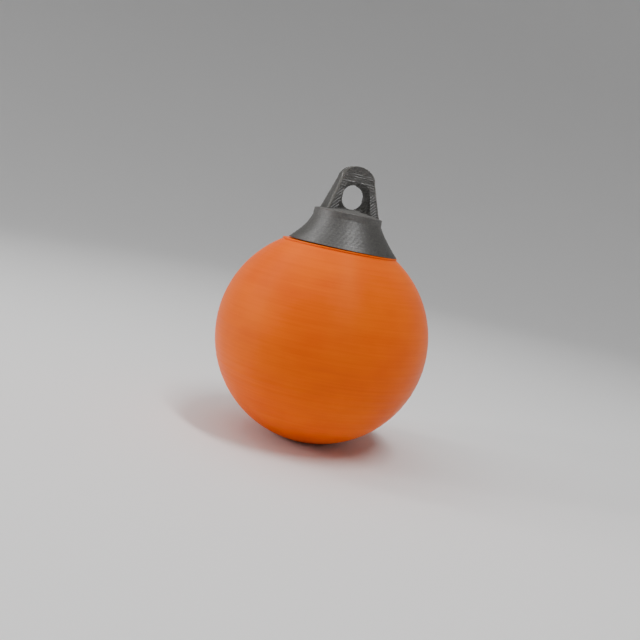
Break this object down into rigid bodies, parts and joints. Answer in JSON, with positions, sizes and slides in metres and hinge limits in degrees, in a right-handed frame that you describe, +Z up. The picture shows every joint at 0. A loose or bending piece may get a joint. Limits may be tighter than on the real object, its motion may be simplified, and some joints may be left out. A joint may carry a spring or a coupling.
{
  "type": "hanging ball",
  "caption": "Hollow printed ball with a flat-cut top, closed by a flared plug-in cap that carries a tapered hanging eye with an arch-shaped opening.",
  "frame": {"origin": "centre of the small flat at the ball's lowest point", "axes": "+Z up the common axis of the ball and the cap, towards the eye; the eye's opening runs along Y and its width along X"},
  "size_m": [0.04, 0.04, 0.0519],
  "materials": {
    "orange_pla": "3-D printed orange plastic with fine layer lines and a soft satin sheen",
    "black_pla": "3-D printed black plastic with layer lines, matte with a grey sheen on edges"
  },
  "bodies": {
    "ball": {"ball_shell": "orange_pla"},
    "cap": {"eye_cap": "black_pla"}
  },
  "joints": [
    {"name": "cap_pull", "type": "slide", "parent": "ball", "child": "cap", "axis": [0, 0, 1], "range_m": [0, 0.012]}
  ]
}
